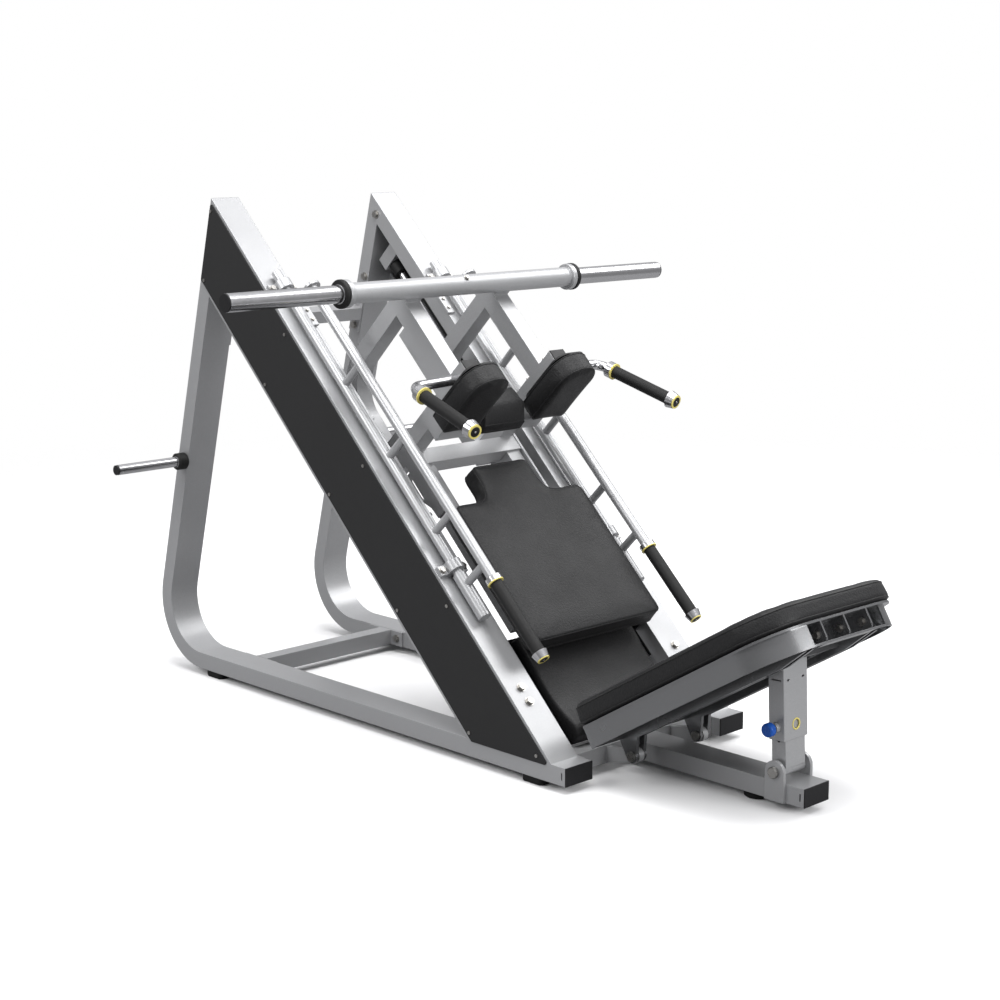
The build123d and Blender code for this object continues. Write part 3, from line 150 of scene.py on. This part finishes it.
def mix_colours(tree, factor, dark, light):
    """A colour between dark and light."""
    node = tree.nodes.new("ShaderNodeMix")
    node.data_type = "RGBA"
    tree.links.new(factor, node.inputs[0])
    node.inputs[6].default_value = (*dark, 1)
    node.inputs[7].default_value = (*light, 1)
    return node.outputs[2]


def soft_edges(tree, radius):
    """Rounded edges in the shading, as a normal."""
    node = add_node(tree, "ShaderNodeBevel", Radius=radius)
    node.samples = 6
    return node.outputs["Normal"]


def bump(tree, height, strength, distance, normal=None):
    """A bump on top of an optional normal."""
    node = add_node(tree, "ShaderNodeBump", Strength=strength, Distance=distance)
    tree.links.new(height, node.inputs["Height"])
    if normal is not None:
        tree.links.new(normal, node.inputs["Normal"])
    return node.outputs["Normal"]


def metallic_paint(name, dark, light, metallic, rough, edge=0.0022):
    """Sprayed metallic paint: fine flake, faint orange peel and softened edges."""
    material, tree, shader = new_material(name)
    flake = noise(tree, 900, 2.0)
    cloud = noise(tree, 7, 3.0)
    colour = mix_colours(tree, map_range(tree, flake, 0, 1), dark, light)
    tree.links.new(colour, shader.inputs["Base Color"])
    tree.links.new(map_range(tree, cloud, rough - 0.04, rough + 0.05), shader.inputs["Roughness"])
    shader.inputs["Metallic"].default_value = metallic
    shader.inputs["Coat Weight"].default_value = 0.25
    shader.inputs["Coat Roughness"].default_value = 0.22
    edges = soft_edges(tree, edge)
    peel = bump(tree, noise(tree, 420, 2.0), 0.02, 0.0004, edges)
    tree.links.new(peel, shader.inputs["Normal"])
    return material


def powder_coat(name, dark, light):
    """Matt powder coat with a fine texture."""
    material, tree, shader = new_material(name)
    grain = noise(tree, 1300, 3.0)
    tree.links.new(mix_colours(tree, map_range(tree, grain, 0, 1), dark, light),
                   shader.inputs["Base Color"])
    tree.links.new(map_range(tree, noise(tree, 5), 0.52, 0.66), shader.inputs["Roughness"])
    shader.inputs["Specular IOR Level"].default_value = 0.35
    tree.links.new(bump(tree, grain, 0.12, 0.0005, soft_edges(tree, 0.0012)), shader.inputs["Normal"])
    return material


def leatherette(name):
    """Upholstery vinyl: pebbled grain with soft folds and a satin sheen."""
    material, tree, shader = new_material(name)
    cells = tree.nodes.new("ShaderNodeTexVoronoi")
    cells.inputs["Scale"].default_value = 210
    warp = tree.nodes.new("ShaderNodeVectorMath")
    warp.operation = "ADD"
    tree.links.new(object_coordinates(tree), warp.inputs[0])
    swirl = add_node(tree, "ShaderNodeTexNoise", Scale=140.0, Detail=2.0)
    tree.links.new(object_coordinates(tree), swirl.inputs["Vector"])
    shrink = tree.nodes.new("ShaderNodeVectorMath")
    shrink.operation = "SCALE"
    shrink.inputs["Scale"].default_value = 0.0034
    tree.links.new(swirl.outputs["Color"], shrink.inputs[0])
    tree.links.new(shrink.outputs[0], warp.inputs[1])
    tree.links.new(warp.outputs[0], cells.inputs["Vector"])
    tree.links.new(mix_colours(tree, map_range(tree, noise(tree, 150), 0, 1), (0.0085, 0.0085, 0.009),
                               (0.0135, 0.0135, 0.014)), shader.inputs["Base Color"])
    tree.links.new(map_range(tree, noise(tree, 9), 0.44, 0.54), shader.inputs["Roughness"])
    shader.inputs["Specular IOR Level"].default_value = 0.26
    shader.inputs["Sheen Weight"].default_value = 0.03
    shader.inputs["Sheen Roughness"].default_value = 0.4
    folds = bump(tree, noise(tree, 14, 2.0), 0.05, 0.004)
    tree.links.new(bump(tree, cells.outputs["Distance"], 0.45, 0.0014, folds), shader.inputs["Normal"])
    return material


def polished_metal(name, colour, rough):
    """Chrome or zinc: faint polishing marks and a little unevenness."""
    material, tree, shader = new_material(name)
    shader.inputs["Metallic"].default_value = 1.0
    marks = noise(tree, 60, 6.0, 0.7)
    tree.links.new(map_range(tree, marks, rough, rough + 0.05), shader.inputs["Roughness"])
    lighter = tuple(min(1, c * 1.06) for c in colour)
    tree.links.new(mix_colours(tree, map_range(tree, marks, 0, 1), colour, lighter),
                   shader.inputs["Base Color"])
    tree.links.new(bump(tree, noise(tree, 30, 2.0), 0.02, 0.0004), shader.inputs["Normal"])
    return material


def moulded(name, dark, light, rough, grain_scale, grain_depth, edge=0.001):
    """Moulded rubber or plastic with a fine surface grain."""
    material, tree, shader = new_material(name)
    grain = noise(tree, grain_scale, 4.0)
    tree.links.new(mix_colours(tree, map_range(tree, grain, 0, 1), dark, light),
                   shader.inputs["Base Color"])
    tree.links.new(map_range(tree, noise(tree, 40), rough - 0.05, rough + 0.06),
                   shader.inputs["Roughness"])
    shader.inputs["Specular IOR Level"].default_value = 0.25
    tree.links.new(bump(tree, grain, grain_depth, 0.0006, soft_edges(tree, edge)),
                   shader.inputs["Normal"])
    return material


def floor_material():
    """Pale floor that thins out into the backdrop; greyer in reflections than to the camera."""
    material, tree, shader = new_material("studio_floor")
    rays = tree.nodes.new("ShaderNodeLightPath")
    mottling = mix_colours(tree, map_range(tree, noise(tree, 3), 0, 1), FLOOR_DARK, FLOOR_LIGHT)
    tint = tree.nodes.new("ShaderNodeMix")
    tint.data_type = "RGBA"
    tree.links.new(rays.outputs["Is Camera Ray"], tint.inputs[0])
    tint.inputs[6].default_value = (*FLOOR_IN_REFLECTIONS, 1)
    tree.links.new(mottling, tint.inputs[7])
    tree.links.new(tint.outputs[2], shader.inputs["Base Color"])
    shader.inputs["Roughness"].default_value = 0.7
    shader.inputs["Specular IOR Level"].default_value = 0.1
    distance = tree.nodes.new("ShaderNodeVectorMath")
    distance.operation = "LENGTH"
    tree.links.new(object_coordinates(tree), distance.inputs[0])
    fade = tree.nodes.new("ShaderNodeMapRange")
    fade.interpolation_type = "SMOOTHSTEP"
    tree.links.new(distance.outputs["Value"], fade.inputs["Value"])
    fade.inputs["From Min"].default_value = FLOOR_FADE[0]
    fade.inputs["From Max"].default_value = FLOOR_FADE[1]
    clear = tree.nodes.new("ShaderNodeBsdfTransparent")
    blend = tree.nodes.new("ShaderNodeMixShader")
    tree.links.new(fade.outputs["Result"], blend.inputs[0])
    tree.links.new(shader.outputs[0], blend.inputs[1])
    tree.links.new(clear.outputs[0], blend.inputs[2])
    tree.links.new(blend.outputs[0], tree.nodes["Material Output"].inputs["Surface"])
    return material


LOOKS = {
    "silver_paint": metallic_paint("silver_paint", (0.32, 0.323, 0.33), (0.48, 0.484, 0.492),
                                   0.44, 0.34),
    "dark_grey_paint": metallic_paint("dark_grey_paint", (0.17, 0.172, 0.176), (0.24, 0.243, 0.248),
                                      0.80, 0.24, 0.0006),
    "black_plate_paint": powder_coat("black_plate_paint", (0.013, 0.013, 0.0135), (0.019, 0.019, 0.0195)),
    "zinc_steel": polished_metal("zinc_steel", (0.42, 0.41, 0.39), 0.26),
    "chrome": polished_metal("chrome", (0.58, 0.58, 0.59), 0.16),
    "black_rubber": moulded("black_rubber", (0.007, 0.007, 0.007), (0.012, 0.012, 0.012), 0.55, 700, 0.25),
    "black_plastic": moulded("black_plastic", (0.010, 0.010, 0.011), (0.015, 0.015, 0.016), 0.42, 900, 0.12),
    "yellow_plastic": moulded("yellow_plastic", (0.70, 0.60, 0.16), (0.78, 0.68, 0.22), 0.28, 500, 0.05,
                              0.0004),
    "blue_plastic": moulded("blue_plastic", (0.010, 0.075, 0.36), (0.014, 0.095, 0.44), 0.25, 400, 0.06),
    "black_leatherette": leatherette("black_leatherette"),
}

node_slots = {part["node"]: part["material_slot"] for part in frame["record"]["subparts"]}
for node_name, node in frame["nodes"].items():
    look = LOOKS[node_slots[node_name]]
    node.data.materials.clear()
    node.data.materials.append(look)
    for polygon in node.data.polygons:
        polygon.material_index = 0


# ---- Small tools for new pieces ----
def link(name, data, body, slot_name):
    """A new piece that rides on a body and has a look from a material slot."""
    piece = bpy.data.objects.new(name, data)
    bpy.context.scene.collection.objects.link(piece)
    if LOOKS[slot_name].name not in [m.name for m in data.materials if m]:
        data.materials.append(LOOKS[slot_name])
    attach(piece, body)
    return piece


def lathe(name, centre, axis, profile, body, slot_name, steps=48):
    """A turned piece: the profile holds (radius, distance along the axis) pairs."""
    mesh = bmesh.new()
    turn = axis.to_track_quat("Z", "Y")
    rings = []
    for radius, height in profile:
        ring = []
        for i in range(steps):
            angle = 2 * pi * i / steps
            local = Vector((radius * cos(angle), radius * sin(angle), height))
            ring.append(mesh.verts.new(centre + turn @ local))
        rings.append(ring)
    for low, high in zip(rings, rings[1:]):
        for i in range(steps):
            j = (i + 1) % steps
            mesh.faces.new((low[i], low[j], high[j], high[i]))
    bmesh.ops.remove_doubles(mesh, verts=mesh.verts, dist=1e-7)
    bmesh.ops.recalc_face_normals(mesh, faces=mesh.faces)
    data = bpy.data.meshes.new(name)
    mesh.to_mesh(data)
    mesh.free()
    for polygon in data.polygons:
        polygon.use_smooth = True
    return link(name, data, body, slot_name)


def rounded_outline(corners, step=0.012):
    """Points round a polygon whose corners are (x, y, radius), spaced by about a step."""
    count = len(corners)
    points = []
    for i in range(count):
        here = Vector(corners[i][:2])
        before = (Vector(corners[i - 1][:2]) - here).normalized()
        after = (Vector(corners[(i + 1) % count][:2]) - here).normalized()
        radius = corners[i][2]
        half = before.angle(after) / 2
        reach = radius / max(1e-6, abs(sin(half) / cos(half)))
        start = here + before * reach
        end = here + after * reach
        centre = here + (before + after).normalized() * (radius / sin(half))
        a = atan2(start.y - centre.y, start.x - centre.x)
        b = atan2(end.y - centre.y, end.x - centre.x)
        sweep = (b - a + pi) % (2 * pi) - pi
        pieces = max(2, int(abs(sweep) * radius / step) + 1)
        for k in range(pieces + 1):
            angle = a + sweep * k / pieces
            points.append(Vector((centre.x + radius * cos(angle), centre.y + radius * sin(angle))))
    dense = []
    for i, point in enumerate(points):
        follow = points[(i + 1) % len(points)]
        parts = max(1, int((follow - point).length / step))
        for k in range(parts):
            dense.append(point.lerp(follow, k / parts))
    return dense


# ---- Upholstery ----
def swell(pad, out, voxel, cap):
    """Inflate a remeshed pad with a cloth simulation; its back stays flat on the plate."""
    mesh = pad.data
    start = [v.co.copy() for v in mesh.vertices]
    heights = [point.dot(out) for point in start]
    floor = min(heights)
    hold = pad.vertex_groups.new(name="hold")
    hold.add([i for i, h in enumerate(heights) if h < floor + HELD_LAYERS * voxel], 1.0, "REPLACE")
    cloth = pad.modifiers.new("Cloth", "CLOTH")
    settings = cloth.settings
    settings.quality = 4
    settings.use_pressure = True
    settings.uniform_pressure_force = CLOTH_PRESSURE
    settings.tension_stiffness = CLOTH_STIFFNESS
    settings.compression_stiffness = CLOTH_STIFFNESS
    settings.bending_stiffness = CLOTH_BENDING
    settings.vertex_group_mass = "hold"
    settings.effector_weights.gravity = 0
    scene = bpy.context.scene
    for number in range(1, CLOTH_FRAMES + 1):
        scene.frame_set(number)
    shaped = pad.evaluated_get(bpy.context.evaluated_depsgraph_get()).to_mesh()
    moved = [v.co.copy() for v in shaped.vertices]
    pad.modifiers.remove(cloth)
    scene.frame_set(1)
    for vertex, old, new in zip(mesh.vertices, start, moved):
        step = new - old
        if step.length > cap:
            step = step * (cap / step.length)
        vertex.co = old + step
    mesh.update()


def settle(mesh, rounds):
    """A few rounds of smoothing that take out the remesh's steps."""
    work = bmesh.new()
    work.from_mesh(mesh)
    for _ in range(rounds):
        bmesh.ops.smooth_vert(work, verts=work.verts, factor=0.5, use_axis_x=True, use_axis_y=True,
                              use_axis_z=True)
    work.to_mesh(mesh)
    work.free()


def soft_pad(node_name, body, out, voxel, shrink, cap):
    """A padded cushion in the place of a CAD pad."""
    source = frame["nodes"][node_name]
    pad = bpy.data.objects.new(node_name + "_cushion", source.data.copy())
    bpy.context.scene.collection.objects.link(pad)
    remesh = pad.modifiers.new("Remesh", "REMESH")
    remesh.mode = "VOXEL"
    remesh.voxel_size = voxel
    shaped = bpy.data.meshes.new_from_object(pad.evaluated_get(bpy.context.evaluated_depsgraph_get()))
    pad.modifiers.clear()
    pad.data = shaped
    settle(shaped, 2)
    base = min(v.co.dot(out) for v in shaped.vertices)
    inward = [v.normal * -shrink for v in shaped.vertices]
    for vertex, step in zip(shaped.vertices, inward):
        if vertex.co.dot(out) > base + voxel:
            vertex.co += step
    swell(pad, out, voxel, cap)
    settle(shaped, 4)
    for polygon in shaped.polygons:
        polygon.use_smooth = True
    shaped.materials.clear()
    shaped.materials.append(LOOKS["black_leatherette"])
    refine = pad.modifiers.new("Subdivision", "SUBSURF")
    refine.levels = 1
    refine.render_levels = 1
    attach(pad, body)
    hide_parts(node_name)
    return pad


def seam(name, pad, points, body):
    """A sewn welt that follows the cushion's surface along a closed line."""
    tree = BVHTree.FromObject(pad, bpy.context.evaluated_depsgraph_get())
    curve = bpy.data.curves.new(name, "CURVE")
    curve.dimensions = "3D"
    curve.bevel_depth = WELT_RADIUS
    curve.bevel_resolution = 3
    spline = curve.splines.new("POLY")
    spline.points.add(len(points) - 1)
    for slot_point, point in zip(spline.points, points):
        place, normal, _, _ = tree.find_nearest(point)
        slot_point.co = (*(place + normal * WELT_LIFT), 1)
    spline.use_cyclic_u = True
    return link(name, curve, body, "black_leatherette")


BACK_PAD_TOP = 0.088
BACK_OUTLINE = rounded_outline([
    (-0.255, 0.375, 0.024), (0.255, 0.375, 0.024), (0.255, 0.838, 0.024), (0.112, 0.838, 0.042),
    (0.112, 0.955, 0.018), (-0.112, 0.955, 0.018), (-0.112, 0.838, 0.042), (-0.255, 0.838, 0.024),
])
back_pad = soft_pad("back_pad", "carriage", OUT_SLOPE, 0.008, 0.001, 0.003)
for label, height in (("upper", BACK_PAD_TOP - 0.006), ("lower", 0.034)):
    ring = [on_slope(p.x, p.y, height) for p in BACK_OUTLINE]
    seam("back_pad_seam_" + label, back_pad, ring, "carriage")

HEAD_FRONT_S = 1.0095
HEAD_FRONT = [
    (-0.078, 0.152, 0.006), (0.078, 0.152, 0.006), (0.078, 0.186, 0.006), (-0.078, 0.186, 0.006),
]
head_pad = soft_pad("head_pad", "carriage", OUT_SLOPE, 0.005, 0.001, 0.002)
seam("head_pad_seam", head_pad, [on_slope(p.x, HEAD_FRONT_S, p.y) for p in rounded_outline(HEAD_FRONT)],
     "carriage")

PLATE_OUTLINE = rounded_outline([
    (-0.280, 0.0, 0.016), (0.280, 0.0, 0.016), (0.280, 0.738, 0.136), (-0.280, 0.738, 0.136),
])
foot_pad = soft_pad("foot_pad", "foot_plate", PLATE_OUT, 0.009, 0.001, 0.003)
for label, height in (("upper", 0.052), ("lower", 0.006)):
    ring = [on_plate(p.x, p.y, height) for p in PLATE_OUTLINE]
    seam("foot_pad_seam_" + label, foot_pad, ring, "foot_plate")

lower_pad = soft_pad("lower_pad", "frame", OUT_SLOPE, 0.008, 0.001, 0.003)

SHOULDER_FRONT_S = 1.010
for side, label in ((1, "right"), (-1, "left")):
    outline = rounded_outline([
        (0.104, 0.174, 0.014), (0.242, 0.174, 0.014), (0.242, 0.400, 0.062), (0.104, 0.400, 0.062),
    ])
    pad = soft_pad(label + "_shoulder_pad", "carriage", -UP_SLOPE, 0.006, 0.001, 0.0025)
    for name, s in (("front", SHOULDER_FRONT_S + 0.006), ("rear", 1.072)):
        ring = [on_slope(side * p.x, s, p.y) for p in outline]
        seam(label + "_shoulder_seam_" + name, pad, ring, "carriage")


# ---- Hardware details on the post and the handles ----
joints = {joint["name"]: joint for joint in frame["joints"]}
POST_UP = Vector(joints["post_extend"]["axis"])
POST_FOOT = Vector(joints["post_lean"]["pos_m"])
POST_FRONT = Vector((0, -POST_UP.z, POST_UP.y))

window = POST_FOOT + POST_UP * 0.118 + POST_FRONT * 0.025
lathe("post_window_ring", window, POST_FRONT,
      [(0.0118, -0.003), (0.0118, 0.0006), (0.0128, 0.0016), (0.0148, 0.0016), (0.0158, 0.0006),
       (0.0158, 0.0001), (0.0118, -0.003)], "post_outer", "yellow_plastic")


def end_badge(name, centre, axis, radius, body):
    """Plain dark insert with a small bright centre, in the end of a handle."""
    lathe(name + "_disc", centre, axis,
          [(0.0001, -0.001), (radius, -0.001), (radius, 0.0004), (radius * 0.9, 0.0009), (0.0001, 0.0009)],
          body, "black_plastic")
    lathe(name + "_stud", centre, axis,
          [(0.0001, 0.0005), (radius * 0.22, 0.0005), (radius * 0.2, 0.0016), (0.0001, 0.002)],
          body, "zinc_steel", 24)


for side, label in ((1, "right"), (-1, "left")):
    lever_end = on_slope(side * 0.306, 0.307, 0.12205)
    end_badge(label + "_lever_end", lever_end, -UP_SLOPE, 0.0125, label + "_safety_lever")
    grip_axis = (Vector((side * 0.094, 0, 0)) - UP_SLOPE * 0.886 + OUT_SLOPE * 0.457)
    corner = on_slope(side * 0.368, 1.098, 0.294)
    end_badge(label + "_handle_end", corner + grip_axis * 0.290, grip_axis.normalized(), 0.0145, "carriage")


# ---- Studio ----
def studio_floor():
    """A large flat floor just under the feet."""
    data = bpy.data.meshes.new("studio_floor")
    size = FLOOR_HALF_SIZE
    data.from_pydata([(-size, -size, 0), (size, -size, 0), (size, size, 0), (-size, size, 0)], [],
                     [(0, 1, 2, 3)])
    data.materials.append(floor_material())
    floor = bpy.data.objects.new("studio_floor", data)
    floor.location.z = FLOOR_Z - 0.0005
    bpy.context.scene.collection.objects.link(floor)


def area_light(name, place, target, size, power):
    """A soft rectangular light that faces its target."""
    data = bpy.data.lights.new(name, "AREA")
    data.shape = "RECTANGLE"
    data.size = size[0]
    data.size_y = size[1]
    data.energy = power
    light = bpy.data.objects.new(name, data)
    light.location = place
    light.rotation_euler = (Vector(target) - Vector(place)).to_track_quat("-Z", "Y").to_euler()
    bpy.context.scene.collection.objects.link(light)


def studio_world():
    """White backdrop for the camera; lights and reflections see a sky that is dark at the horizon."""
    world = bpy.data.worlds.new("studio")
    world.use_nodes = True
    tree = world.node_tree
    background = tree.nodes["Background"]
    coordinates = tree.nodes.new("ShaderNodeTexCoord")
    split = tree.nodes.new("ShaderNodeSeparateXYZ")
    tree.links.new(coordinates.outputs["Generated"], split.inputs[0])
    ramp = tree.nodes.new("ShaderNodeValToRGB")
    ramp.color_ramp.elements[0].position = 0.1
    ramp.color_ramp.elements[0].color = (*SKY_AT_HORIZON, 1)
    ramp.color_ramp.elements[1].position = 0.8
    ramp.color_ramp.elements[1].color = (*SKY_OVERHEAD, 1)
    tree.links.new(split.outputs["Z"], ramp.inputs["Fac"])
    rays = tree.nodes.new("ShaderNodeLightPath")
    pick = tree.nodes.new("ShaderNodeMix")
    pick.data_type = "RGBA"
    tree.links.new(rays.outputs["Is Camera Ray"], pick.inputs[0])
    tree.links.new(ramp.outputs["Color"], pick.inputs[6])
    pick.inputs[7].default_value = (*BACKDROP, 1)
    tree.links.new(pick.outputs[2], background.inputs["Color"])
    bpy.context.scene.world = world


def photo_camera():
    """The camera, from the front left and a little above."""
    data = bpy.data.cameras.new("camera")
    data.sensor_width = CAMERA_SENSOR
    data.lens = CAMERA_LENS
    camera = bpy.data.objects.new("camera", data)
    camera.location = CAMERA_PLACE
    camera.rotation_euler = Euler((CAMERA_PITCH, CAMERA_ROLL, CAMERA_YAW), "XYZ")
    bpy.context.scene.collection.objects.link(camera)
    bpy.context.scene.camera = camera


studio_floor()
studio_world()
area_light("beam_key", (4.0, -1.0, 4.7), (0, 0.2, 0.9), (3.6, 3.0), 130)
area_light("overhead", (-0.5, -0.8, 5.2), (0, 0, 0.4), (3.4, 3.4), 230)
area_light("front_fill", (0.6, -5.5, 2.2), (0, 0, 0.7), (2.6, 1.8), 150)
area_light("left_fill", (-5.0, 1.4, 3.8), (0, 0.7, 1.1), (3.0, 2.2), 150)
photo_camera()
bpy.context.scene.view_settings.view_transform = "Standard"
